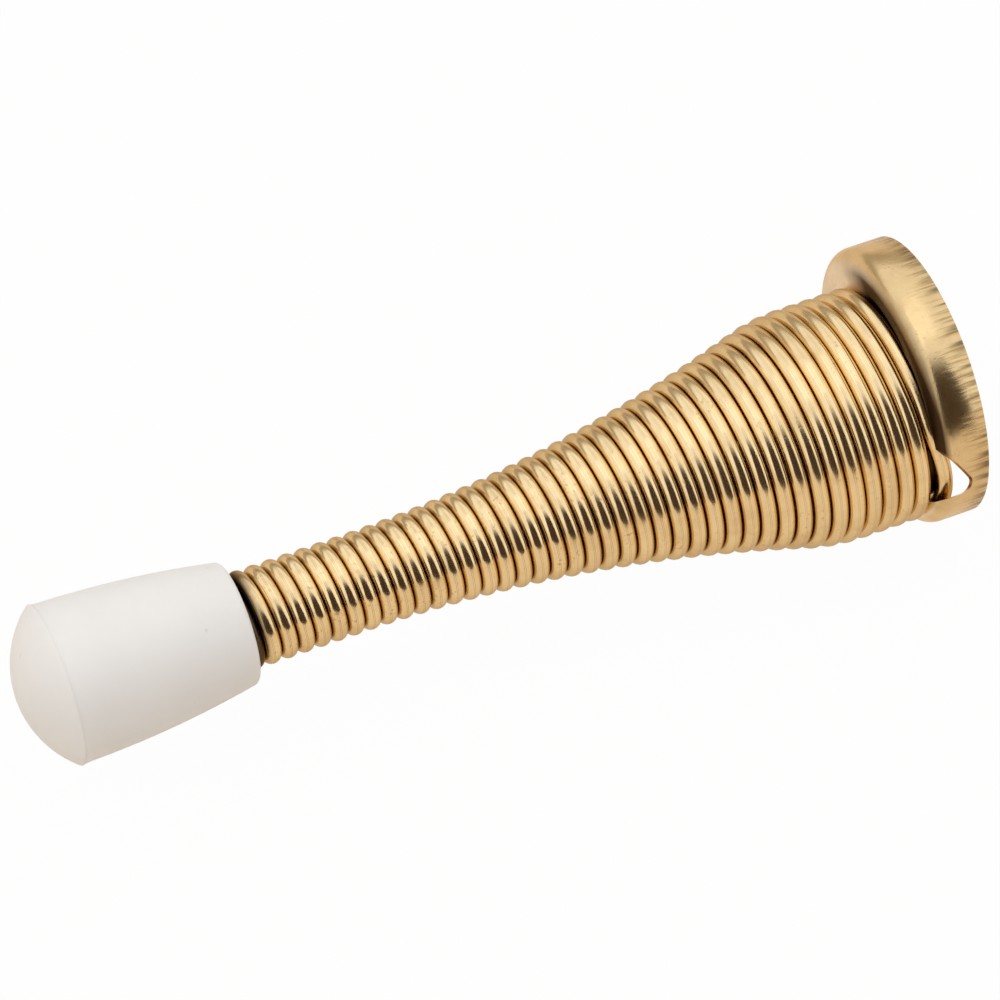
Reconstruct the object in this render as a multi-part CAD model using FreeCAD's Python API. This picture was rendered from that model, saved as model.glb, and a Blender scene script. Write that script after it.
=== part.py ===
"""Spring door stop: a drawn cup that screws to the wall, a close-wound flared spring and a push-on tip.

The pieces are drawn upright, with Z along the stop's axis, the wall at z = 0 and X towards the cup's lip, then
laid down as they are used: the wall is the plane x = 0 and the tip points along -X. Sizes are in millimetres
and degrees.
"""
import FreeCAD, Part
import math
import os

Vector = FreeCAD.Vector

# Overall
overall_length = 79.4
lip_facing = 127.4  # turns the cup's lip from straight up, past -Y

# Base cup, drawn from sheet
cup_diameter = 23.5
cup_height = 4.2
sheet = 0.5
cup_corner_radius = 1.3
screw_hole_diameter = 4.5

# Trough and window in the cup, through which the end turn of the spring is threaded behind the lip
lip_width = 1.8
window_width = 4.25
ramp_angle = 40.0
window_corner_radius = 0.7
window_inner_end = 1.5
trough_lead = 5.0  # how far round the wire has begun to sink where the trough starts
trough_clearance = 0.3
cut_overrun = 0.5  # how far a cut runs past the sheet

# Spring wire and its winding
wire_diameter = 1.4
turn_gap = 0.02
spring_small_diameter = 8.0
spring_offset = 1.1  # the spring sits off the cup's centre, towards the lip
rim_clearance = 0.22
wide_length = 5.3
slim_length = 9.5  # what shows of it, up to the tip
shoulder_radius = 15.0
settling_turns = 8  # the turns lean on the lip at first, and lie square after these
seat_gap = 0.02
lip_clearance = 0.05

# Tip
tip_length = 18.7
tip_nose_diameter = 13.4
tip_dome_height = 3.2
tip_rear_diameter = 10.3
tip_middle_bulge = 0.33
tip_rear_radius = 0.9
tip_bore_depth = 10.0
tip_bore_clearance = 0.05
tip_bore_end_gap = 0.3

# Worked out from the sizes above
cup_radius = cup_diameter / 2
lip_edge = cup_radius - lip_width
window_start = lip_edge - window_width
wire_radius = wire_diameter / 2
pitch = wire_diameter + turn_gap
slim_radius = spring_small_diameter / 2 - wire_radius
wide_radius = cup_radius - sheet - rim_clearance - spring_offset - wire_radius
seat_height = cup_height + wire_radius + seat_gap
under_lip_height = cup_height - sheet - lip_clearance - wire_radius
sinking_slope = (seat_height - under_lip_height) / (wide_radius + lip_edge - spring_offset)
behind_lip_height = seat_height - 2 * wide_radius * sinking_slope
trough_outer = wide_radius + wire_radius + trough_clearance
trough_inner = wide_radius - wire_radius - trough_clearance
trough_end = math.degrees(math.acos((lip_edge - spring_offset) / trough_outer))
tip_rear_height = overall_length - tip_length
spring_end_height = tip_rear_height + tip_bore_depth - tip_bore_end_gap - wire_radius
flare_bottom = seat_height + wide_length
flare_top = tip_rear_height - slim_length
flare_angle = 2 * math.atan((wide_radius - slim_radius) / (flare_top - flare_bottom))
flare_radius = (flare_top - flare_bottom) / math.sin(flare_angle) - shoulder_radius


def revolved(edges):
    """A solid turned about Z from the closed outline of its half section."""
    return Part.Face(Part.Wire(edges)).revolve(Vector(0, 0, 0), Vector(0, 0, 1), 360)


def polyline(points):
    return [Part.LineSegment(a, b).toShape() for a, b in zip(points, points[1:])]


def base_cup():
    """Flat-faced cup, open at the wall, with a screw hole, and the trough and window for the spring's end turn."""
    outside = Part.makeCylinder(cup_radius, cup_height)
    outside = outside.makeFillet(cup_corner_radius, [outside.Edges[0]])
    inside = Part.makeCylinder(cup_radius - sheet, cup_height - sheet)
    inside = inside.makeFillet(cup_corner_radius - sheet, [inside.Edges[0]])
    hole = Part.makeCylinder(screw_hole_diameter / 2, cup_height)
    beyond = Part.makeBox(cup_radius, cup_diameter, cup_height, Vector(window_start, -cup_radius, 0))
    walls = ring_sector(trough_inner - sheet, cup_diameter, cup_height).cut(below_trough(sheet)).cut(beyond)
    trough = ring_sector(trough_inner, trough_outer, cup_height + cut_overrun).cut(below_trough(0))
    cup = outside.cut(inside).fuse(walls.common(outside)).cut(trough)
    return cup.cut(window()).cut(hole).removeSplitter()


def window():
    """Three-cornered opening through face and rim: a ramp down to a rounded corner, then up to the lip."""
    above = cup_height + cut_overrun
    ramp = math.tan(math.radians(ramp_angle))
    ramp_top = Vector(window_start - cut_overrun / ramp, window_inner_end, above)
    ramp_foot = Vector(lip_edge, window_inner_end, cup_height - window_width * ramp)
    lip_top = Vector(lip_edge, window_inner_end, above)
    outline = Part.Face(Part.Wire(polyline([ramp_top, ramp_foot, lip_top, ramp_top])))
    prism = outline.extrude(Vector(0, cup_radius, 0))
    foot = min(prism.Edges, key=lambda edge: max(vertex.Z for vertex in edge.Vertexes))
    return prism.makeFillet(window_corner_radius, [foot])


def ring_sector(inner, outer, top):
    """Part of a ring that stands on the wall plane and follows the end turn as far as the window."""
    sweep = 180 - trough_lead - trough_end
    ring = Part.makeCylinder(outer, top, Vector(0, 0, 0), Vector(0, 0, 1), sweep)
    sector = ring.cut(Part.makeCylinder(inner, top))
    sector.rotate(Vector(0, 0, 0), Vector(0, 0, 1), trough_end)
    sector.translate(Vector(spring_offset, 0, 0))
    return sector


def below_trough(depth):
    """Everything lower than a depth under the trough's floor, which slopes down with the wire that lies on it."""
    rise = sinking_slope * (cup_radius + spring_offset - wide_radius)
    high = Vector(-cup_radius, -cup_radius, cup_height - depth + rise)
    low = high + Vector(cup_diameter, 0, -cup_diameter * sinking_slope)
    corners = [high, low, Vector(low.x, low.y, -cup_height), Vector(high.x, high.y, -cup_height), high]
    return Part.Face(Part.Wire(polyline(corners))).extrude(Vector(0, cup_diameter, 0))


def winding(length):
    """Radius and height of the wire's centre, a length of the spring's side line up from its seat."""
    shoulder_run = shoulder_radius * flare_angle
    flare_run = flare_radius * flare_angle
    if length < wide_length:
        return wide_radius, seat_height + length
    length -= wide_length
    if length < shoulder_run:
        turned = length / shoulder_radius
        return (wide_radius - shoulder_radius * (1 - math.cos(turned)),
                flare_bottom + shoulder_radius * math.sin(turned))
    length -= shoulder_run
    if length < flare_run:
        left = (flare_run - length) / flare_radius
        return (slim_radius + flare_radius * (1 - math.cos(left)),
                flare_top - flare_radius * math.sin(left))
    return slim_radius, flare_top + length - flare_run


def half_turn_ends():
    """Where each half turn of wire begins, from the cut end in the cup to the cut end in the tip.

    They lie by turns on the side away from the lip and on the lip's side, where the first turn rests on the lip.
    """
    ends = [Vector(-wide_radius, 0, behind_lip_height), Vector(wide_radius, 0, behind_lip_height)]
    count = 0
    radius, height = winding(0)
    while height < spring_end_height:
        if count % 2 == 0:
            ends.append(Vector(-radius, 0, height))
        else:
            lean = max(0, 1 - (count - 1) / 2 / settling_turns)
            ends.append(Vector(radius, 0, height - lean * pitch / 2))
        count += 1
        radius, height = winding(count * pitch / 2)
    return ends


def coil_spring():
    """Round wire along half circles that meet in one plane, tangent to each other, right-hand wound."""
    ends = half_turn_ends()
    arcs = []
    for number, (low, high) in enumerate(zip(ends, ends[1:])):
        middle = (low + high) / 2
        side = -1 if number % 2 == 0 else 1
        crown = middle + Vector(0, side * (high - low).Length / 2, 0)
        arcs.append(Part.Arc(low, crown, high).toShape())
    section = Part.Wire(Part.Circle(ends[0], Vector(0, 1, 0), wire_radius).toShape())
    spring = Part.Wire(arcs).makePipeShell([section], True, False)
    spring.translate(Vector(spring_offset, 0, 0))
    return spring


def bumper_tip():
    """Moulded cap: a shallow dome, a crisp edge, a side that tapers to the rear and a blind bore."""
    nose = tip_nose_diameter / 2
    rear = tip_rear_diameter / 2
    bore = spring_small_diameter / 2 + tip_bore_clearance
    edge_height = overall_length - tip_dome_height
    side_start = tip_rear_height + tip_rear_radius
    dome_radius = (nose ** 2 + tip_dome_height ** 2) / (2 * tip_dome_height)
    dome_turn = math.asin(nose / dome_radius) / 2
    apex = Vector(0, 0, overall_length)
    edge = Vector(nose, 0, edge_height)
    dome_middle = Vector(dome_radius * math.sin(dome_turn), 0,
                         overall_length - dome_radius * (1 - math.cos(dome_turn)))
    side_end = Vector(rear, 0, side_start)
    side_middle = (edge + side_end) / 2 + Vector(tip_middle_bulge, 0, 0)
    rear_corner = Vector(rear - tip_rear_radius, 0, tip_rear_height)
    half_turned = tip_rear_radius * math.sqrt(0.5)
    round_middle = Vector(rear_corner.x + half_turned, 0, side_start - half_turned)
    bore_mouth = Vector(bore, 0, tip_rear_height)
    bore_end = Vector(bore, 0, tip_rear_height + tip_bore_depth)
    bore_middle = Vector(0, 0, tip_rear_height + tip_bore_depth)
    tip = revolved([
        Part.Arc(apex, dome_middle, edge).toShape(),
        Part.Arc(edge, side_middle, side_end).toShape(),
        Part.Arc(side_end, round_middle, rear_corner).toShape(),
        *polyline([rear_corner, bore_mouth, bore_end, bore_middle, apex]),
    ])
    tip.translate(Vector(spring_offset, 0, 0))
    return tip


def laid_down(shape):
    """Turns an upright piece into its place in use, with the tip along -X and the lip to the front."""
    turn = FreeCAD.Rotation(Vector(1, 0, 0), lip_facing) * FreeCAD.Rotation(Vector(0, 1, 0), -90)
    placed = shape.copy()
    placed.Placement = FreeCAD.Placement(Vector(0, 0, 0), turn) * placed.Placement
    return placed


os.makedirs("parts", exist_ok=True)
for make in (base_cup, coil_spring, bumper_tip):
    laid_down(make()).exportStep(f"parts/{make.__name__}.step")
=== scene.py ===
"""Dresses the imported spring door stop: a wound brass wire, a drawn brass cup and a moulded white tip."""
import math

import bmesh
import bpy
from bpy.props import FloatProperty, FloatVectorProperty, IntProperty, PointerProperty
from mathutils import Matrix, Vector


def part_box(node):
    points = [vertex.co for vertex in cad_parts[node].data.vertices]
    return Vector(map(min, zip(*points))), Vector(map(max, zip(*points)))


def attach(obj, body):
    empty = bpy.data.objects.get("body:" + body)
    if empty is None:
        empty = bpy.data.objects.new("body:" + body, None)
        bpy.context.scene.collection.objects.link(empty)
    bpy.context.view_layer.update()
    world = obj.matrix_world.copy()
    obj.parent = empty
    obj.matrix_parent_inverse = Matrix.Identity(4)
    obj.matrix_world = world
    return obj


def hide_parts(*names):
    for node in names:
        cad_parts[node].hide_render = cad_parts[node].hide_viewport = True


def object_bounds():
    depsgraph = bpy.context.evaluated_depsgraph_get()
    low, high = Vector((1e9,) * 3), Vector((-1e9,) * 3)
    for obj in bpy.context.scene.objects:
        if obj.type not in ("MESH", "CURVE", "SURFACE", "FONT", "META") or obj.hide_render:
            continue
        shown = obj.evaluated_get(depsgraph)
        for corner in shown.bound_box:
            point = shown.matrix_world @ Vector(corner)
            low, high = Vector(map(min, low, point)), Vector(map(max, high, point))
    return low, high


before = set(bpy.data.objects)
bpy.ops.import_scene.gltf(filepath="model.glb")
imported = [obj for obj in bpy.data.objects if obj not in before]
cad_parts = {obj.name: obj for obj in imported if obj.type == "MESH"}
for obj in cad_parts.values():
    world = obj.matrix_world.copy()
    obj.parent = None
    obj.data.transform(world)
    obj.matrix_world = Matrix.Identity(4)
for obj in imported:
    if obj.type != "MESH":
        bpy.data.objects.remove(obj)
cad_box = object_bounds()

bl_info = {
    "name": "Spring door stop",
    "version": (1, 0, 0),
    "blender": (4, 5, 0),
    "location": "View3D > Sidebar > Door stop",
    "description": "Builds the looks of a spring door stop around its construction model",
    "category": "Object",
}

MM = 0.001

# Places taken from the construction model
tip_low, tip_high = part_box("bumper_tip")
cup_low, cup_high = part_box("base_cup")
spring_low, spring_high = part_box("coil_spring")
tip_centre = (tip_low + tip_high) / 2
lip_side = Vector((0, tip_centre.y, tip_centre.z))
SPRING_OFFSET = lip_side.length
ACROSS = lip_side.normalized()
OUTWARD = Vector((-1, 0, 0))
TOWARDS = OUTWARD.cross(ACROSS)
LAID_DOWN = Matrix((ACROSS, TOWARDS, OUTWARD)).transposed().to_4x4()
OVERALL_LENGTH = -tip_low.x
TIP_REAR = -tip_high.x
NOSE_DIAMETER = tip_high.y - tip_low.y
CUP_DIAMETER = cup_high.y - cup_low.y
CUP_HEIGHT = -cup_low.x
SPRING_START = -spring_high.x
SPRING_END = -spring_low.x
SPRING_WIDTH = spring_high.y - spring_low.y

# Points along the curves of the tip and the sill
DOME_POINTS = 36
SIDE_POINTS = 40
SIDE_CROWDING = 1.6  # above 1, the side's points crowd towards the nose
ROUNDING_POINTS = 10
EDGE_POINTS = 5
SILL_POINTS = 16

# Stage
FLOOR_SIZE = 6.0
FLOOR_GAP = 0.05 * MM


def length(name, description, default):
    return FloatProperty(name=name, description=description, default=default, unit="LENGTH", precision=5)


def colour(name, description, default):
    return FloatVectorProperty(name=name, description=description, default=default, subtype="COLOR",
                               min=0.0, max=1.0)


def count(name, description, default, least):
    return IntProperty(name=name, description=description, default=default, min=least)


def share(name, description, default):
    return FloatProperty(name=name, description=description, default=default, min=0.0, max=1.0)


def power(name, description, default):
    return FloatProperty(name=name, description=description, default=default, min=0.0, unit="POWER")


def degrees(name, description, default):
    return FloatProperty(name=name, description=description, default=math.radians(default), subtype="ANGLE")


class DoorStopWire(bpy.types.PropertyGroup):
    """Sizes and colours of the wound spring"""
    wire_diameter: length("Wire diameter", "Thickness of the round wire", 1.4 * MM)
    turn_gap: length("Turn gap", "Space between two turns", 0.02 * MM)
    slim_diameter: length("Slim diameter", "Outside of the turns at the tip", 8.0 * MM)
    wide_diameter: length("Wide diameter", "Outside of the turns at the cup", SPRING_WIDTH)
    wide_run: length("Wide run", "Length of the cylinder of wide turns", 5.3 * MM)
    slim_run: length("Slim run", "Length of slim turns that shows behind the tip", 9.5 * MM)
    shoulder_radius: length("Shoulder radius", "Bend of the side line where the wide turns end", 15.0 * MM)
    settling_turns: FloatProperty(name="Settling turns", description="Turns after which the wire lies square",
                                  default=24.0, min=1.0)
    points_per_turn: count("Points per turn", "Stations along one turn", 96, 12)
    sides: count("Sides", "Corners of the wire's section", 20, 8)
    light: colour("Light brass", "Plating where it is brightest", (0.97, 0.75, 0.425))
    deep: colour("Deep brass", "Plating where it has darkened", (0.58, 0.37, 0.16))
    slant: colour("Slant tint", "Shade of the plating where it is seen at a slant", (0.68, 0.58, 0.45))
    tip_shade: length("Tip shade", "How far the shade reaches out of the tip's mouth", 1.5 * MM)
    mouth: colour("Mouth", "Wire in the shade of the tip's mouth", (0.03, 0.016, 0.008))
    # Painted shade: colour in the grooves between the turns and on their flanks
    shade_and_soil: colour("Shade And Soil", "What gathers in the grooves between the turns", (0.32, 0.21, 0.11))


class DoorStopCup(bpy.types.PropertyGroup):
    """Sizes and colours of the drawn cup's finish"""
    light: colour("Light brass", "Plating on the rim and corner", (0.84, 0.62, 0.325))
    face: colour("Satin face", "Plating on the flat face, which is duller and pinker", (1.0, 0.86, 0.66))
    deep: colour("Deep brass", "Plating in the draw marks", (0.50, 0.32, 0.14))
    slant: colour("Slant tint", "Shade of the plating where it is seen at a slant", (0.98, 0.90, 0.78))
    # Colour of the painted shade in the recess and inside the spring, and of the soil in the draw marks
    shade_and_soil: colour("Shade And Soil", "What gathers in the recess and in the draw marks", (0.06, 0.032, 0.016))
    # The recess and hidden lengths place the painted shade beside the end turn and inside the spring
    recess_width: length("Recess width", "How far the soil reaches out beside the end turn", 2.3 * MM)
    recess_start: length("Recess start", "Where the soil begins, from the middle line", 1.0 * MM)
    recess_full: length("Recess full", "Where the soil is thickest, from the middle line", 5.0 * MM)
    recess_fade: length("Recess fade", "Where the soil starts to fade towards the lip", 6.5 * MM)
    recess_end: length("Recess end", "Where the soil ends towards the lip", 8.5 * MM)
    recess_depth: length("Recess depth", "How far down the rounded corner the soil is thick", 0.55 * MM)
    recess_edge: length("Recess edge", "Height over which the soil ends below that", 0.5 * MM)
    hidden_start: length("Hidden start", "From the spring's outside in to the hidden soil", 1.0 * MM)
    hidden_edge: length("Hidden edge", "Width over which the hidden soil sets in", 0.3 * MM)
    drawn_width: length("Drawn width", "How far the draw marks reach from the trimmed edge", 1.7 * MM)
    barrel: length("Barrel", "Radius to which the rim's side swells", 6.5 * MM)
    barrel_middle: length("Barrel middle", "Where the rim is widest, from the trimmed edge", 2.3 * MM)
    lip_width: length("Lip width", "Width of the lip that the end turn passes behind", 1.8 * MM)
    window_width: length("Window width", "Width of the opening beside the lip", 4.25 * MM)
    window_inner_end: length("Window inner end", "Where the opening starts beside the middle line", 1.5 * MM)
    sill_depth: length("Sill depth", "How far the face turns down inside the end turn", 1.7 * MM)
    sill_clearance: length("Sill clearance", "Between the end turn and the face inside it", 0.1 * MM)


class DoorStopTip(bpy.types.PropertyGroup):
    """Sizes and colours of the moulded tip"""
    rear_diameter: length("Rear diameter", "Width at the open end", 10.3 * MM)
    dome_height: length("Dome height", "Height of the nose above its edge", 3.2 * MM)
    middle_bulge: length("Side bulge", "How far the side swells at its middle", 0.33 * MM)
    rear_radius: length("Rear radius", "Rounding of the open end", 0.55 * MM)
    edge_width: length("Edge width", "Width of the rounded line round the nose", 0.16 * MM)
    edge_lip: length("Edge lip", "How far the line round the nose stands out from the side", 0.12 * MM)
    edge_run: length("Edge run", "Length over which the side flares out to that line", 0.30 * MM)
    bore_diameter: length("Bore diameter", "Width of the blind hole", 8.1 * MM)
    bore_depth: length("Bore depth", "Depth of the blind hole", 10.0 * MM)
    segments: count("Segments", "Facets round the tip", 192, 24)
    sharp_angle: degrees("Sharp angle", "Corners of the tip sharper than this stay crisp", 35.0)
    body: colour("Body", "Moulded material", (0.90, 0.87, 0.835))
    speck: colour("Speck", "Small dark marks", (0.35, 0.32, 0.29))


class DoorStopStage(bpy.types.PropertyGroup):
    """View and light"""
    surround: share("Surround", "Light that comes from all round", 0.55)
    overhead: power("Overhead lamp", "Power of the lamp above", 1.8)
    sheen: power("Sheen lamp", "Power of the lamp that the plating shows", 0.40)
    left: power("Left lamp", "Power of the lamp beyond the tip", 0.8)
    right: power("Right lamp", "Power of the lamp beyond the cup", 0.6)
    floor: colour("Floor", "Floor that lights the stop from below", (0.76, 0.67, 0.57))
    floor_glow: share("Floor glow", "Share of the seen floor that is plain white", 0.975)
    floor_mirrored: colour("Floor in reflections", "Floor as the plating shows it", (0.80, 0.70, 0.59))
    dark: colour("Dark card", "Card in front, as the plating shows it", (0.065, 0.045, 0.032))
    dim: colour("Dim card", "Low card at the back, as the plating shows it", (0.44, 0.39, 0.33))
    view_turn: degrees("View turn", "How far the view stands round towards the tip", 23.41)
    view_height: degrees("View height", "How far the view looks down", 51.85)
    view_distance: length("View distance", "From the camera to the stop", 479.9 * MM)
    lens: FloatProperty(name="Lens", description="Focal length", default=216.0, unit="CAMERA")
    aim_along: length("Aim along", "Aim point along the stop, from the wall", 39.88 * MM)
    aim_right: length("Aim right", "Aim point to the right of that", 1.941 * MM)
    aim_up: length("Aim up", "Aim point above that", 2.147 * MM)


class Tree:
    """Adds nodes to one node tree and joins them."""

    def __init__(self, tree):
        self.tree = tree

    def add(self, kind, inputs=None, **settings):
        node = self.tree.nodes.new(kind)
        for name, value in settings.items():
            setattr(node, name, value)
        for key, value in (inputs or {}).items():
            self.feed(value, node.inputs[key])
        return node

    def feed(self, value, socket):
        if isinstance(value, bpy.types.NodeSocket):
            self.tree.links.new(value, socket)
        else:
            socket.default_value = value

    def math(self, operation, *values, clamp=False):
        node = self.add("ShaderNodeMath", operation=operation, use_clamp=clamp)
        for value, socket in zip(values, node.inputs):
            self.feed(value, socket)
        return node.outputs[0]

    def mix(self, factor, first, second):
        node = self.add("ShaderNodeMix", data_type="RGBA")
        for value, socket in zip((factor, first, second), (node.inputs[0], node.inputs[6], node.inputs[7])):
            self.feed(value, socket)
        return node.outputs[2]

    def ramp(self, value, low, high, start=0.0, end=1.0):
        node = self.add("ShaderNodeMapRange", {0: value, 1: low, 2: high, 3: start, 4: end})
        return node.outputs[0]

    def noise(self, place, scale, detail, roughness=0.5):
        sockets = {"Vector": place, "Scale": scale, "Detail": detail, "Roughness": roughness}
        return self.add("ShaderNodeTexNoise", sockets).outputs["Fac"]


def new_piece(name, mesh, material=None):
    piece = bpy.data.objects.new(name, mesh)
    bpy.context.scene.collection.objects.link(piece)
    if material:
        mesh.materials.append(material)
    return piece


def group_sockets(tree, inputs, outputs):
    for name, kind, default in inputs:
        socket = tree.interface.new_socket(name, in_out="INPUT", socket_type=kind)
        if default is not None:
            socket.default_value = default
    for name, kind in outputs:
        tree.interface.new_socket(name, in_out="OUTPUT", socket_type=kind)


def plating_group():
    """Shader group: brass plating with soft tarnish clouds, specks, lines along one direction, and painted
    shade and soil mixed in by a share.
    """
    found = bpy.data.node_groups.get("brass_plating")
    if found:
        return found
    tree = bpy.data.node_groups.new("brass_plating", "ShaderNodeTree")
    group_sockets(tree, [
        ("Place", "NodeSocketVector", None),
        ("Lines", "NodeSocketVector", None),
        ("Light", "NodeSocketColor", (0.9, 0.7, 0.4, 1)),
        ("Deep", "NodeSocketColor", (0.7, 0.5, 0.2, 1)),
        ("Shade And Soil", "NodeSocketColor", (0.1, 0.05, 0.02, 1)),
        ("Shade And Soil Share", "NodeSocketFloat", 0.0),
        ("Line Share", "NodeSocketFloat", 1.0),
        ("Cloud Scale", "NodeSocketFloat", 300.0),
        ("Cloud Amount", "NodeSocketFloat", 0.4),
        ("Speck Scale", "NodeSocketFloat", 3200.0),
        ("Speck Amount", "NodeSocketFloat", 0.7),
        ("Line Amount", "NodeSocketFloat", 0.3),
        ("Line Depth", "NodeSocketFloat", 0.5),
        ("Gloss", "NodeSocketFloat", 0.12),
        ("Dull", "NodeSocketFloat", 0.32),
        ("Lacquer", "NodeSocketFloat", 0.2),
    ], [("Colour", "NodeSocketColor"), ("Roughness", "NodeSocketFloat"), ("Coat", "NodeSocketFloat"),
        ("Height", "NodeSocketFloat")])
    t = Tree(tree)
    given = t.add("NodeGroupInput").outputs
    out = t.add("NodeGroupOutput").inputs
    clouded = t.ramp(t.noise(given["Place"], given["Cloud Scale"], 4.0, 0.6), 0.42, 0.72)
    grains = t.noise(given["Place"], given["Speck Scale"], 2.0)
    patches = t.add("ShaderNodeTexNoise", {
        "Vector": given["Place"], "Scale": given["Cloud Scale"], "Detail": 1.0, "W": 5.0,
    }, noise_dimensions="4D").outputs["Fac"]
    specks = t.math("MULTIPLY", t.ramp(grains, 0.59, 0.70), t.ramp(patches, 0.40, 0.60))
    lines = t.noise(given["Lines"], 1.0, 3.0, 0.65)
    drawn = t.math("MULTIPLY", t.ramp(lines, 0.48, 0.66), given["Line Share"])
    shade = t.math("MAXIMUM", t.math("MULTIPLY", clouded, given["Cloud Amount"]),
                   t.math("MULTIPLY", drawn, given["Line Amount"]))
    shade = t.math("MAXIMUM", shade, t.math("MULTIPLY", specks, given["Speck Amount"]), clamp=True)
    plated = t.mix(shade, given["Light"], given["Deep"])
    # Mixes in the colour of painted shade and soil by its share
    t.feed(t.mix(given["Shade And Soil Share"], plated, given["Shade And Soil"]), out["Colour"])
    wear = t.math("ADD", t.math("MULTIPLY", clouded, 0.45), t.math("MULTIPLY", drawn, 0.35))
    wear = t.math("MULTIPLY_ADD", given["Shade And Soil Share"], 0.4, wear, clamp=True)
    spread = t.math("SUBTRACT", given["Dull"], given["Gloss"])
    t.feed(t.math("MULTIPLY_ADD", wear, spread, given["Gloss"]), out["Roughness"])
    # The coat thins under the painted shade and soil
    clear_of_shade_and_soil = t.math("SUBTRACT", 1.0, given["Shade And Soil Share"], clamp=True)
    t.feed(t.math("MULTIPLY", clear_of_shade_and_soil, given["Lacquer"]), out["Coat"])
    pits = t.math("MULTIPLY", specks, -0.5)
    scored = t.math("MULTIPLY", t.math("MULTIPLY", lines, given["Line Share"]), given["Line Depth"])
    t.feed(t.math("ADD", scored, pits), out["Height"])
    return tree


def brass_material(name, slant):
    """New brass material, with its tree, the inputs of its plating group and its bump node."""
    material = bpy.data.materials.new(name)
    material.use_nodes = True
    t = Tree(material.node_tree)
    shader = material.node_tree.nodes["Principled BSDF"]
    shader.inputs["Metallic"].default_value = 1.0
    shader.inputs["Coat Roughness"].default_value = 0.12
    shader.inputs["Specular Tint"].default_value = (*slant, 1)
    plating = t.add("ShaderNodeGroup", node_tree=plating_group())
    t.feed(plating.outputs["Colour"], shader.inputs["Base Color"])
    t.feed(plating.outputs["Roughness"], shader.inputs["Roughness"])
    t.feed(plating.outputs["Coat"], shader.inputs["Coat Weight"])
    bump = t.add("ShaderNodeBump", {"Strength": 0.4, "Distance": 0.02 * MM})
    t.feed(plating.outputs["Height"], bump.inputs["Height"])
    t.feed(bump.outputs["Normal"], shader.inputs["Normal"])
    return material, t, plating.inputs, bump


def wire_material(wire):
    """Drawn wire: streaks along it, painted shade where turns touch and on the flanks towards the next turn,
    deeper and with more specks towards the tip, and a painted shadow in the tip's mouth.
    """
    streaks_around = 5.0
    streaks_along = 120.0
    material, t, plating, _ = brass_material("plated_wire", wire.slant)
    along = t.add("ShaderNodeAttribute", attribute_name="wire_along").outputs["Fac"]
    around = t.add("ShaderNodeAttribute", attribute_name="wire_around").outputs["Fac"]
    turn = t.math("MULTIPLY", around, math.tau)
    sideways = t.math("SINE", turn)
    lines = t.add("ShaderNodeCombineXYZ", {
        0: t.math("MULTIPLY", t.math("COSINE", turn), streaks_around),
        1: t.math("MULTIPLY", sideways, streaks_around),
        2: t.math("MULTIPLY", along, streaks_along),
    })
    place = t.add("ShaderNodeTexCoord").outputs["Object"]
    t.feed(place, plating["Place"])
    t.feed(lines.outputs[0], plating["Lines"])
    x = t.add("ShaderNodeSeparateXYZ", {0: place}).outputs[0]
    to_next_turn = t.math("ABSOLUTE", sideways)
    # Painted shade in the grooves where the turns touch
    groove = t.ramp(to_next_turn, 0.96, 1.0, 0.0, 0.8)
    # Painted shadow on the wire in the tip's mouth
    at_tip = t.ramp(x, wire.tip_shade - TIP_REAR, 0.4 * wire.tip_shade - TIP_REAR, 0.0, 0.95)
    tipward_share = t.ramp(x, -0.25 * OVERALL_LENGTH, -0.6 * OVERALL_LENGTH, 0.10, 0.45)
    # Painted shade on the flanks that face the next turn, deeper towards the tip
    flank = t.math("MULTIPLY", t.ramp(to_next_turn, 0.72, 0.97), tipward_share)
    t.feed(t.math("MAXIMUM", t.math("MAXIMUM", groove, flank), at_tip), plating["Shade And Soil Share"])
    t.feed(t.math("MULTIPLY_ADD", tipward_share, 0.8, 0.5, clamp=True), plating["Speck Amount"])
    plating["Line Amount"].default_value = 0.16
    plating["Light"].default_value = (*wire.light, 1)
    plating["Deep"].default_value = (*wire.deep, 1)
    # The painted shade takes the mouth's colour of painted shadow in the tip's mouth
    t.feed(t.mix(at_tip, (*wire.shade_and_soil, 1), (*wire.mouth, 1)), plating["Shade And Soil"])
    return material


def recess_shade(t, place, from_edge, cup):
    """Share of painted shade on the cup: inside the spring, and beside the end turn where that sinks."""
    across = t.add("ShaderNodeVectorMath", {0: place, 1: ACROSS}, operation="DOT_PRODUCT").outputs["Value"]
    towards = t.add("ShaderNodeVectorMath", {0: place, 1: TOWARDS}, operation="DOT_PRODUCT").outputs["Value"]
    off_centre = t.math("SUBTRACT", across, SPRING_OFFSET)
    off_axis = t.add("ShaderNodeCombineXYZ", {0: off_centre, 1: towards}).outputs[0]
    reach = t.add("ShaderNodeVectorMath", {0: off_axis}, operation="LENGTH").outputs["Value"]
    beside = t.math("SUBTRACT", reach, SPRING_WIDTH / 2)
    thick_height = CUP_HEIGHT - cup.recess_depth
    # Painted shade beside the end turn, in the recess it sinks into
    end_turn_shade = t.ramp(beside, cup.recess_width, 0.55 * cup.recess_width)
    end_turn_shade = t.math("MULTIPLY", end_turn_shade, t.ramp(towards, cup.recess_start, cup.recess_full))
    end_turn_shade = t.math("MULTIPLY", end_turn_shade, t.ramp(across, cup.recess_end, cup.recess_fade))
    end_turn_shade = t.math("MULTIPLY", end_turn_shade, t.ramp(from_edge, thick_height - cup.recess_edge, thick_height))
    # Painted shade inside the spring, under the wire
    hidden = t.ramp(beside, -cup.hidden_start, -cup.hidden_start - cup.hidden_edge)
    return t.math("MAXIMUM", end_turn_shade, hidden)


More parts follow.
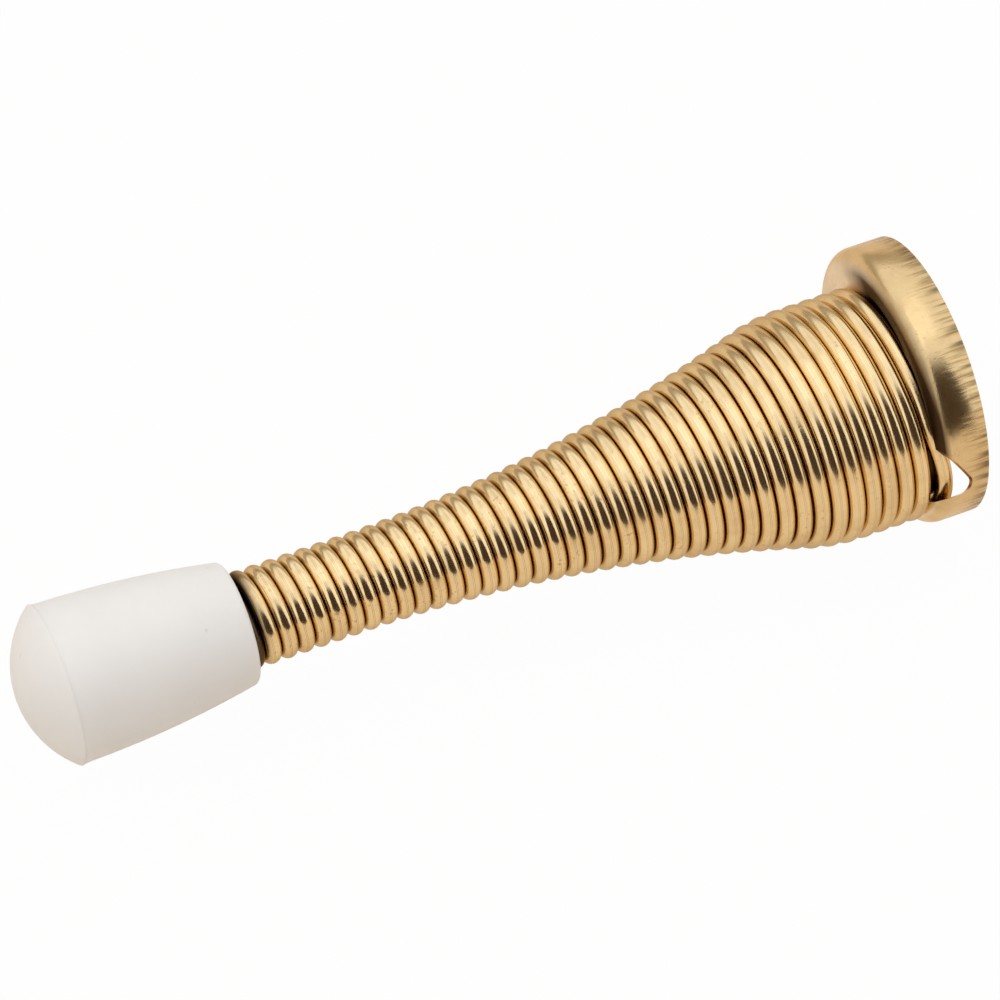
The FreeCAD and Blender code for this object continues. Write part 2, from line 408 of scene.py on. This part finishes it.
def cup_material(cup):
    """Drawn cup: a satin face, a barrel-shaped rim, and axial draw marks towards the trimmed edge."""
    material, t, plating, bump = brass_material("plated_cup", cup.slant)
    place = t.add("ShaderNodeTexCoord").outputs["Object"]
    lines = t.add("ShaderNodeMapping", {"Vector": place, "Scale": (140.0, 3600.0, 3600.0)}).outputs[0]
    x = t.add("ShaderNodeSeparateXYZ", {0: place}).outputs[0]
    from_edge = t.math("MULTIPLY", x, -1.0)
    face = t.ramp(from_edge, CUP_HEIGHT - 0.25 * MM, CUP_HEIGHT - 0.02 * MM)
    wander = t.noise(lines, 0.45, 2.0)
    reach = t.math("MULTIPLY", wander, 2 * cup.drawn_width)
    drawn = t.ramp(t.math("DIVIDE", from_edge, reach), 1.25, 0.55)
    marks = t.math("MULTIPLY", t.ramp(wander, 0.48, 0.60), t.ramp(from_edge, 1.3 * MM, 0.3 * MM))
    t.feed(place, plating["Place"])
    t.feed(lines, plating["Lines"])
    t.feed(drawn, plating["Line Share"])
    # Soil in the draw marks, and painted shade in the recess and inside the spring
    marks_and_shade = t.math("MAXIMUM", t.math("MULTIPLY", marks, 0.65), recess_shade(t, place, from_edge, cup))
    t.feed(marks_and_shade, plating["Shade And Soil Share"])
    t.feed(t.mix(face, (*cup.light, 1), (*cup.face, 1)), plating["Light"])
    t.feed(t.ramp(face, 0.0, 1.0, 0.20, 0.36), plating["Gloss"])
    t.feed(t.ramp(face, 0.0, 1.0, 0.42, 0.46), plating["Dull"])
    plating["Deep"].default_value = (*cup.deep, 1)
    plating["Shade And Soil"].default_value = (*cup.shade_and_soil, 1)
    plating["Line Amount"].default_value = 1.0
    plating["Line Depth"].default_value = 4.0
    plating["Speck Amount"].default_value = 0.4
    off_middle = t.math("SUBTRACT", from_edge, cup.barrel_middle)
    swell = t.math("DIVIDE", t.math("MULTIPLY", off_middle, off_middle), -2 * cup.barrel)
    barrel = t.add("ShaderNodeBump", {"Strength": 1.0, "Distance": 1.0, "Height": swell})
    t.feed(barrel.outputs["Normal"], bump.inputs["Normal"])
    return material


def wound_wire_tree():
    """Geometry Nodes tree: a round wire wound along a wide cylinder, a shoulder, a flare and a slim cylinder.

    Turns count from the seat, on the side away from the lip. The half turn before it lies against the next
    one, then drops behind the lip. The first turns after it lean down to rest on the lip.
    """
    tree = bpy.data.node_groups.new("wound_wire", "GeometryNodeTree")
    number = "NodeSocketFloat"
    group_sockets(tree, [(name, number, 0.0) for name in (
        "Wire Radius", "Pitch", "Wide Radius", "Wide Run", "Shoulder Radius", "Flare Radius", "Flare Turn",
        "Seat Height", "Behind Height", "Settling Turns", "Offset")]
        + [("Stations", "NodeSocketInt", 0), ("Points Per Turn", "NodeSocketInt", 96),
           ("Sides", "NodeSocketInt", 20), ("Material", "NodeSocketMaterial", None)],
        [("Geometry", "NodeSocketGeometry")])
    t = Tree(tree)
    given = t.add("NodeGroupInput").outputs
    calc = t.math
    index = t.add("GeometryNodeInputIndex").outputs[0]
    turns = calc("SUBTRACT", calc("DIVIDE", index, given["Points Per Turn"]), 1.0)
    half_turns = calc("MULTIPLY", turns, 2.0)

    def eased(angle):
        """From 0 to 1 over half a turn of an angle, level at both ends."""
        return calc("MULTIPLY", calc("SUBTRACT", 1.0, calc("COSINE", angle)), 0.5)

    swing = eased(calc("MULTIPLY", turns, math.tau))
    climbing = eased(calc("MULTIPLY", calc("FRACT", half_turns), math.pi))
    climbed = calc("MULTIPLY", calc("ADD", calc("FLOOR", half_turns), climbing), 0.5)
    run = calc("MULTIPLY", calc("MAXIMUM", climbed, 0.0), given["Pitch"])
    both_radii = calc("ADD", given["Shoulder Radius"], given["Flare Radius"])
    bends = calc("MULTIPLY", both_radii, given["Flare Turn"])
    slim_start = calc("ADD", given["Wide Run"], bends)

    def turned(distance, radius):
        """Angle that a bend has turned through after a distance along it."""
        return calc("MINIMUM", calc("MAXIMUM", calc("DIVIDE", distance, radius), 0.0), given["Flare Turn"])

    shoulder = turned(calc("SUBTRACT", run, given["Wide Run"]), given["Shoulder Radius"])
    flare = turned(calc("SUBTRACT", slim_start, run), given["Flare Radius"])
    shoulder_in = calc("MULTIPLY", given["Shoulder Radius"], calc("SUBTRACT", 1.0, calc("COSINE", shoulder)))
    flare_in = calc("MULTIPLY", given["Flare Radius"],
                    calc("SUBTRACT", calc("COSINE", flare), calc("COSINE", given["Flare Turn"])))
    radius = calc("SUBTRACT", calc("SUBTRACT", given["Wide Radius"], shoulder_in), flare_in)
    shoulder_up = calc("MULTIPLY", given["Shoulder Radius"], calc("SINE", shoulder))
    flare_up = calc("MULTIPLY", given["Flare Radius"],
                    calc("SUBTRACT", calc("SINE", given["Flare Turn"]), calc("SINE", flare)))
    slim_up = calc("MAXIMUM", calc("SUBTRACT", run, slim_start), 0.0)
    wide_up = calc("MINIMUM", run, given["Wide Run"])
    up = calc("ADD", wide_up, calc("ADD", shoulder_up, calc("ADD", flare_up, slim_up)))

    sinking = calc("LESS_THAN", turns, 0.0)
    hidden = calc("LESS_THAN", turns, -0.5)
    towards_lip = calc("MAXIMUM", swing, hidden)
    beside = calc("MULTIPLY", towards_lip, given["Pitch"])
    late = t.add("ShaderNodeMapRange", {0: towards_lip, 1: 0.62, 2: 0.965},
                 interpolation_type="SMOOTHSTEP").outputs[0]
    depth = calc("SUBTRACT", calc("SUBTRACT", given["Seat Height"], given["Pitch"]), given["Behind Height"])
    sunk = calc("MULTIPLY", calc("MULTIPLY_ADD", late, depth, beside), sinking)
    settled = calc("DIVIDE", calc("SUBTRACT", turns, 0.5), given["Settling Turns"])
    leaning = t.ramp(settled, 0.0, 1.0, 1.0, 0.0)
    lean = calc("MULTIPLY", calc("MULTIPLY", swing, leaning), calc("GREATER_THAN", turns, 0.0))
    drop = calc("MULTIPLY_ADD", calc("MULTIPLY", lean, given["Pitch"]), 0.5, sunk)
    height = calc("SUBTRACT", calc("ADD", given["Seat Height"], up), drop)
    angle = calc("MULTIPLY", calc("ADD", turns, 0.5), math.tau)
    place = t.add("ShaderNodeCombineXYZ", {
        0: calc("MULTIPLY_ADD", radius, calc("COSINE", angle), given["Offset"]),
        1: calc("MULTIPLY", radius, calc("SINE", angle)),
        2: height,
    }).outputs[0]
    line = t.add("GeometryNodeCurvePrimitiveLine").outputs[0]
    stations = t.add("GeometryNodeResampleCurve", {"Curve": line, "Count": given["Stations"]}, mode="COUNT")
    path = t.add("GeometryNodeSetPosition", {"Geometry": stations.outputs[0], "Position": place}).outputs[0]
    path = t.add("GeometryNodeSetCurveNormal", {"Curve": path}, mode="Z_UP").outputs[0]
    path = t.add("GeometryNodeStoreNamedAttribute", {
        "Geometry": path, "Name": "wire_along",
        "Value": t.add("GeometryNodeSplineParameter").outputs["Length"],
    }, data_type="FLOAT", domain="POINT").outputs[0]
    section = t.add("GeometryNodeCurvePrimitiveCircle", {
        "Resolution": given["Sides"], "Radius": given["Wire Radius"],
    }, mode="RADIUS").outputs[0]
    section = t.add("GeometryNodeStoreNamedAttribute", {
        "Geometry": section, "Name": "wire_around",
        "Value": calc("DIVIDE", index, given["Sides"]),
    }, data_type="FLOAT", domain="POINT").outputs[0]
    wire = t.add("GeometryNodeCurveToMesh", {
        "Curve": path, "Profile Curve": section, "Fill Caps": True,
    }).outputs[0]
    wire = t.add("GeometryNodeRealizeInstances", {"Geometry": wire}).outputs[0]
    wire = t.add("GeometryNodeSetMaterial", {"Geometry": wire, "Material": given["Material"]}).outputs[0]
    t.feed(wire, t.add("NodeGroupOutput").inputs[0])
    return tree


class DOORSTOP_OT_spring(bpy.types.Operator):
    """Winds the brass spring"""
    bl_idname = "door_stop.spring"
    bl_label = "Wind the spring"

    def execute(self, context):
        wire = context.scene.door_stop_wire
        wire_radius = wire.wire_diameter / 2
        pitch = wire.wire_diameter + wire.turn_gap
        slim = wire.slim_diameter / 2 - wire_radius
        wide = wire.wide_diameter / 2 - wire_radius
        seat = CUP_HEIGHT + wire_radius + wire.turn_gap
        flare_start = seat + wire.wide_run
        flare_end = TIP_REAR - wire.slim_run
        flare_turn = 2 * math.atan((wide - slim) / (flare_end - flare_start))
        flare_radius = (flare_end - flare_start) / math.sin(flare_turn) - wire.shoulder_radius
        run = (wire.wide_run + (wire.shoulder_radius + flare_radius) * flare_turn
               + SPRING_END - wire_radius - flare_end)
        turns = 1 + run / pitch
        values = {
            "Wire Radius": wire_radius, "Pitch": pitch, "Wide Radius": wide, "Wide Run": wire.wide_run,
            "Shoulder Radius": wire.shoulder_radius, "Flare Radius": flare_radius, "Flare Turn": flare_turn,
            "Seat Height": seat, "Behind Height": SPRING_START + wire_radius,
            "Settling Turns": wire.settling_turns, "Offset": SPRING_OFFSET,
            "Stations": round(turns * wire.points_per_turn), "Points Per Turn": wire.points_per_turn,
            "Sides": wire.sides, "Material": wire_material(wire),
        }
        maker = new_piece("spring_maker", bpy.data.meshes.new("spring_maker"))
        modifier = maker.modifiers.new("wound_wire", "NODES")
        modifier.node_group = wound_wire_tree()
        for item in modifier.node_group.interface.items_tree:
            if item.in_out == "INPUT":
                modifier[item.identifier] = values[item.name]
        mesh = bpy.data.meshes.new_from_object(maker.evaluated_get(context.evaluated_depsgraph_get()))
        bpy.data.objects.remove(maker)
        mesh.transform(LAID_DOWN)
        mesh.shade_smooth()
        mesh.name = "coil_spring_wire"
        piece = new_piece("wound_spring", mesh)
        if len(mesh.polygons) < wire.points_per_turn:
            raise RuntimeError("the spring's tree gave no wire")
        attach(piece, "root")
        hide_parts("coil_spring")
        return {"FINISHED"}


def arc(centre, radius, start, end, points):
    """Points of a flat arc, as pairs, from one angle to another."""
    steps = [start + (end - start) * i / points for i in range(points + 1)]
    return [(centre[0] + radius * math.cos(a), centre[1] + radius * math.sin(a)) for a in steps]


def sill_mesh(cup, wire):
    """Part of the cup's face that lies inside the end turn and closes the window behind it. It lies in the
    painted shade inside the spring, so it shows as a dark sheet where there is shade.
    """
    reach = wire.wide_diameter / 2 - wire.wire_diameter - cup.sill_clearance
    start = CUP_DIAMETER / 2 - cup.lip_width - cup.window_width
    first = math.acos((start - SPRING_OFFSET) / reach)
    last = math.asin(cup.window_inner_end / reach)
    outline = [(start, cup.window_inner_end)]
    outline += arc((SPRING_OFFSET, 0), reach, last, first, SILL_POINTS)
    bm = bmesh.new()
    face = bm.faces.new([bm.verts.new((x, y, CUP_HEIGHT - cup.sill_depth)) for x, y in outline])
    raised = bmesh.ops.extrude_face_region(bm, geom=[face])["geom"]
    corners = [item for item in raised if isinstance(item, bmesh.types.BMVert)]
    bmesh.ops.translate(bm, verts=corners, vec=(0, 0, cup.sill_depth))
    bmesh.ops.recalc_face_normals(bm, faces=bm.faces)
    bm.transform(LAID_DOWN)
    mesh = bpy.data.meshes.new("window_sill")
    bm.to_mesh(mesh)
    bm.free()
    return mesh


class DOORSTOP_OT_cup(bpy.types.Operator):
    """Plates the drawn cup and adds the sill behind its window"""
    bl_idname = "door_stop.cup"
    bl_label = "Plate the cup"

    def execute(self, context):
        cup = context.scene.door_stop_cup
        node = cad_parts["base_cup"]
        material = cup_material(cup)
        node.data.materials.clear()
        node.data.materials.append(material)
        # The sill takes the cup's painted shade inside the spring and shows dark
        piece = new_piece("window_sill", sill_mesh(cup, context.scene.door_stop_wire), material)
        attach(piece, "root")
        return {"FINISHED"}


def lathed(outline, segments):
    """Closed mesh turned about the axis; the outline starts and ends on it."""
    turns = [math.tau * i / segments for i in range(segments)]
    bm = bmesh.new()
    rings = []
    for r, h in outline:
        if r == 0:
            rings.append([bm.verts.new((0, 0, h))])
        else:
            rings.append([bm.verts.new((r * math.cos(a), r * math.sin(a), h)) for a in turns])
    for low, high in zip(rings, rings[1:]):
        for i in range(segments):
            j = (i + 1) % segments
            corners = [low[i % len(low)], low[j % len(low)], high[j % len(high)], high[i % len(high)]]
            bm.faces.new(list(dict.fromkeys(corners)))
    bmesh.ops.recalc_face_normals(bm, faces=bm.faces)
    mesh = bpy.data.meshes.new("lathed")
    bm.to_mesh(mesh)
    bm.free()
    return mesh


def rounded_corner(before, corner, after, width):
    """Points that take a corner off, from width before it to width past it."""
    corner = Vector(corner)
    start = corner + (Vector(before) - corner).normalized() * width
    end = corner + (Vector(after) - corner).normalized() * width
    shares = [i / EDGE_POINTS for i in range(EDGE_POINTS + 1)]
    return [tuple(start.lerp(corner, s).lerp(corner.lerp(end, s), s)) for s in shares]


def tip_outline(tip):
    """Half section of the tip, from the middle of the nose to the bottom of the bore."""
    nose = NOSE_DIAMETER / 2
    rear = tip.rear_diameter / 2
    bore = tip.bore_diameter / 2
    edge_height = OVERALL_LENGTH - tip.dome_height
    dome_radius = (nose ** 2 + tip.dome_height ** 2) / (2 * tip.dome_height)
    dome = arc((0, OVERALL_LENGTH - dome_radius), dome_radius, math.pi / 2,
               math.pi / 2 - math.asin(nose / dome_radius), DOME_POINTS)
    dome[0] = (0, OVERALL_LENGTH)
    side = []
    side_length = edge_height - TIP_REAR - tip.rear_radius
    for i in range(1, SIDE_POINTS + 1):
        down = (i / SIDE_POINTS) ** SIDE_CROWDING
        swell = 4 * tip.middle_bulge * down * (1 - down)
        drawn_in = tip.edge_lip * (1 - math.exp(-down * side_length / tip.edge_run)) * (1 - down)
        side.append((nose + (rear - nose) * down + swell - drawn_in, edge_height - side_length * down))
    edge = rounded_corner(dome[-2], dome[-1], side[0], tip.edge_width / 2)
    rounded = arc((rear - tip.rear_radius, TIP_REAR + tip.rear_radius), tip.rear_radius,
                  0, -math.pi / 2, ROUNDING_POINTS)
    mouth = [(bore, TIP_REAR), (bore, TIP_REAR + tip.bore_depth), (0, TIP_REAR + tip.bore_depth)]
    return dome[:-1] + edge + side + rounded[1:] + mouth


def tip_material(tip):
    """Soft white moulding with faint clouding, a fine grain and a few specks."""
    material = bpy.data.materials.new("white_rubber")
    material.use_nodes = True
    t = Tree(material.node_tree)
    shader = material.node_tree.nodes["Principled BSDF"]
    shader.inputs["Specular IOR Level"].default_value = 0.35
    shader.inputs["Subsurface Weight"].default_value = 0.2
    shader.inputs["Subsurface Radius"].default_value = (1.0, 0.85, 0.7)
    shader.inputs["Subsurface Scale"].default_value = 1.5 * MM
    place = t.add("ShaderNodeTexCoord").outputs["Object"]
    cloud = t.noise(place, 160.0, 4.0)
    specks = t.noise(place, 900.0, 1.0)
    grain = t.noise(place, 3500.0, 3.0)
    body = Vector(tip.body)
    clouded = t.mix(t.ramp(cloud, 0.35, 0.75), (*body, 1), (*(body * 0.96), 1))
    speckled = t.mix(t.ramp(specks, 0.77, 0.81, 0.0, 0.25), clouded, (*tip.speck, 1))
    t.feed(speckled, shader.inputs["Base Color"])
    t.feed(t.ramp(cloud, 0.3, 0.7, 0.40, 0.52), shader.inputs["Roughness"])
    bump = t.add("ShaderNodeBump", {"Strength": 0.10, "Distance": 0.02 * MM, "Height": grain})
    t.feed(bump.outputs["Normal"], shader.inputs["Normal"])
    return material


class DOORSTOP_OT_tip(bpy.types.Operator):
    """Moulds the white tip"""
    bl_idname = "door_stop.tip"
    bl_label = "Mould the tip"

    def execute(self, context):
        tip = context.scene.door_stop_tip
        mesh = lathed(tip_outline(tip), tip.segments)
        mesh.transform(LAID_DOWN @ Matrix.Translation((SPRING_OFFSET, 0, 0)))
        mesh.shade_smooth()
        mesh.set_sharp_from_angle(angle=tip.sharp_angle)
        piece = new_piece("moulded_tip", mesh, tip_material(tip))
        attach(piece, "root")
        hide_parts("bumper_tip")
        return {"FINISHED"}


def emission(t, tint):
    return t.add("ShaderNodeEmission", {"Color": tint, "Strength": 1.0}).outputs[0]


def flat_sheet(name, width, height, place, material):
    """Flat sheet that belongs to the stage, laid in its place."""
    mesh = bpy.data.meshes.new(name)
    bm = bmesh.new()
    bmesh.ops.create_grid(bm, x_segments=1, y_segments=1, size=0.5)
    bm.to_mesh(mesh)
    bm.free()
    mesh.transform(place @ Matrix.Diagonal((width, height, 1, 1)))
    sheet = new_piece(name, mesh, material)
    return sheet


def stage_material(name):
    """New material for the stage, with its tree and the socket that takes its shader."""
    material = bpy.data.materials.new(name)
    material.use_nodes = True
    return material, Tree(material.node_tree), material.node_tree.nodes["Material Output"].inputs[0]


def plain_card(name, centre, facing, width, height, shade, fade):
    """Upright card that only shows in reflections; its top fades to white over a share of its height."""
    material, t, surface = stage_material(name)
    z = t.add("ShaderNodeSeparateXYZ", {0: t.add("ShaderNodeTexCoord").outputs["Object"]}).outputs[2]
    top = centre[2] + height / 2
    faded = t.ramp(z, top - fade * height, top)
    t.feed(emission(t, t.mix(faded, (*shade, 1), (1, 1, 1, 1))), surface)
    turn = Vector(facing).to_track_quat("Z", "Y").to_matrix().to_4x4()
    card = flat_sheet(name, width, height, Matrix.Translation(centre) @ turn, material)
    card.visible_camera = False
    card.visible_diffuse = False
    card.visible_shadow = False


def soft_lamp(name, place, towards, width, height, power, shines=False):
    """Lamp that lights the stop; the plating shows it only if it shines."""
    lamp = bpy.data.lights.new(name, "AREA")
    lamp.shape = "RECTANGLE"
    lamp.size = width
    lamp.size_y = height
    lamp.energy = power
    holder = bpy.data.objects.new(name, lamp)
    holder.location = place
    holder.rotation_mode = "QUATERNION"
    holder.rotation_quaternion = (Vector(towards) - Vector(place)).to_track_quat("-Z", "Y")
    holder.visible_glossy = shines
    bpy.context.scene.collection.objects.link(holder)


def seen_shares(t):
    """1 for what the camera or a clear material shows, and 1 for what a reflection shows."""
    ray = t.add("ShaderNodeLightPath").outputs
    return t.math("MAXIMUM", ray["Is Camera Ray"], ray["Is Transmission Ray"]), ray["Is Glossy Ray"]


class DOORSTOP_OT_stage(bpy.types.Operator):
    """Sets the floor, the lights and the camera"""
    bl_idname = "door_stop.stage"
    bl_label = "Set the stage"

    def execute(self, context):
        stage = context.scene.door_stop_stage
        scene = context.scene
        scene.view_settings.view_transform = "Standard"
        floor_height = cad_box[0].z - FLOOR_GAP
        middle = OUTWARD * OVERALL_LENGTH / 2

        material, t, surface = stage_material("pale_floor")
        shader = material.node_tree.nodes["Principled BSDF"]
        shader.inputs["Base Color"].default_value = (*stage.floor, 1)
        shader.inputs["Roughness"].default_value = 0.9
        seen, reflected = seen_shares(t)
        glowing = t.math("MULTIPLY", seen, stage.floor_glow)
        white = t.add("ShaderNodeMixShader", {
            0: glowing, 1: shader.outputs[0], 2: emission(t, (1, 1, 1, 1)),
        }).outputs[0]
        mirrored = t.add("ShaderNodeMixShader", {
            0: reflected, 1: white, 2: emission(t, (*stage.floor_mirrored, 1)),
        }).outputs[0]
        t.feed(mirrored, surface)
        flat_sheet("floor", FLOOR_SIZE, FLOOR_SIZE, Matrix.Translation((0, 0, floor_height)), material)

        world = bpy.data.worlds.new("white_surround")
        scene.world = world
        world.use_nodes = True
        t = Tree(world.node_tree)
        background = world.node_tree.nodes["Background"]
        background.inputs["Color"].default_value = (1, 1, 1, 1)
        any_seen = t.math("MAXIMUM", *seen_shares(t))
        t.feed(t.ramp(any_seen, 0.0, 1.0, stage.surround, 1.0), background.inputs["Strength"])

        # Places and sizes of the lamps and cards are in metres
        soft_lamp("overhead_light", (-0.05, 0.20, 0.75), middle, 0.88, 0.70, stage.overhead)
        soft_lamp("sheen_light", (-0.05, 0.10, 0.75), middle, 0.88, 0.50, stage.sheen, shines=True)
        soft_lamp("left_light", (-0.60, 0.0, 0.40), middle, 0.40, 0.50, stage.left)
        soft_lamp("right_light", (0.55, -0.25, 0.35), middle, 0.25, 0.5, stage.right)
        plain_card("dark_front", (-0.04, -0.45, 0.52), (0, 1, 0), 0.82, 1.04, stage.dark, fade=0.45)
        plain_card("grey_back", (-0.03, 0.6, 0.13), (0, -1, 0), 1.6, 0.30, stage.dim, fade=0.4)

        away = Vector((-math.sin(stage.view_turn) * math.cos(stage.view_height),
                       -math.cos(stage.view_turn) * math.cos(stage.view_height),
                       math.sin(stage.view_height)))
        right = Vector((math.cos(stage.view_turn), -math.sin(stage.view_turn), 0))
        up = away.cross(right)
        aim = OUTWARD * stage.aim_along + right * stage.aim_right + up * stage.aim_up
        camera = bpy.data.objects.new("camera", bpy.data.cameras.new("camera"))
        camera.data.lens = stage.lens
        camera.location = aim + away * stage.view_distance
        camera.rotation_mode = "QUATERNION"
        camera.rotation_quaternion = (-away).to_track_quat("-Z", "Y")
        scene.collection.objects.link(camera)
        scene.camera = camera
        return {"FINISHED"}


class DOORSTOP_PT_panel(bpy.types.Panel):
    """Lists the pieces of the door stop"""
    bl_idname = "DOORSTOP_PT_panel"
    bl_label = "Spring door stop"
    bl_space_type = "VIEW_3D"
    bl_region_type = "UI"
    bl_category = "Door stop"

    def draw(self, context):
        for group, operator in SECTIONS:
            box = self.layout.box()
            values = getattr(context.scene, group)
            for name in values.bl_rna.properties.keys():
                if name not in ("rna_type", "name"):
                    box.prop(values, name)
            box.operator(operator.bl_idname)


SECTIONS = (
    ("door_stop_wire", DOORSTOP_OT_spring),
    ("door_stop_cup", DOORSTOP_OT_cup),
    ("door_stop_tip", DOORSTOP_OT_tip),
    ("door_stop_stage", DOORSTOP_OT_stage),
)
GROUPS = (DoorStopWire, DoorStopCup, DoorStopTip, DoorStopStage)
CLASSES = (*GROUPS, *(operator for _, operator in SECTIONS), DOORSTOP_PT_panel)


def register():
    for cls in CLASSES:
        bpy.utils.register_class(cls)
    for (name, _), group in zip(SECTIONS, GROUPS):
        setattr(bpy.types.Scene, name, PointerProperty(type=group))


def unregister():
    for name, _ in SECTIONS:
        delattr(bpy.types.Scene, name)
    for cls in reversed(CLASSES):
        bpy.utils.unregister_class(cls)


def main():
    register()
    bpy.ops.door_stop.spring()
    bpy.ops.door_stop.cup()
    bpy.ops.door_stop.tip()
    bpy.ops.door_stop.stage()


if __name__ == "__main__":
    main()
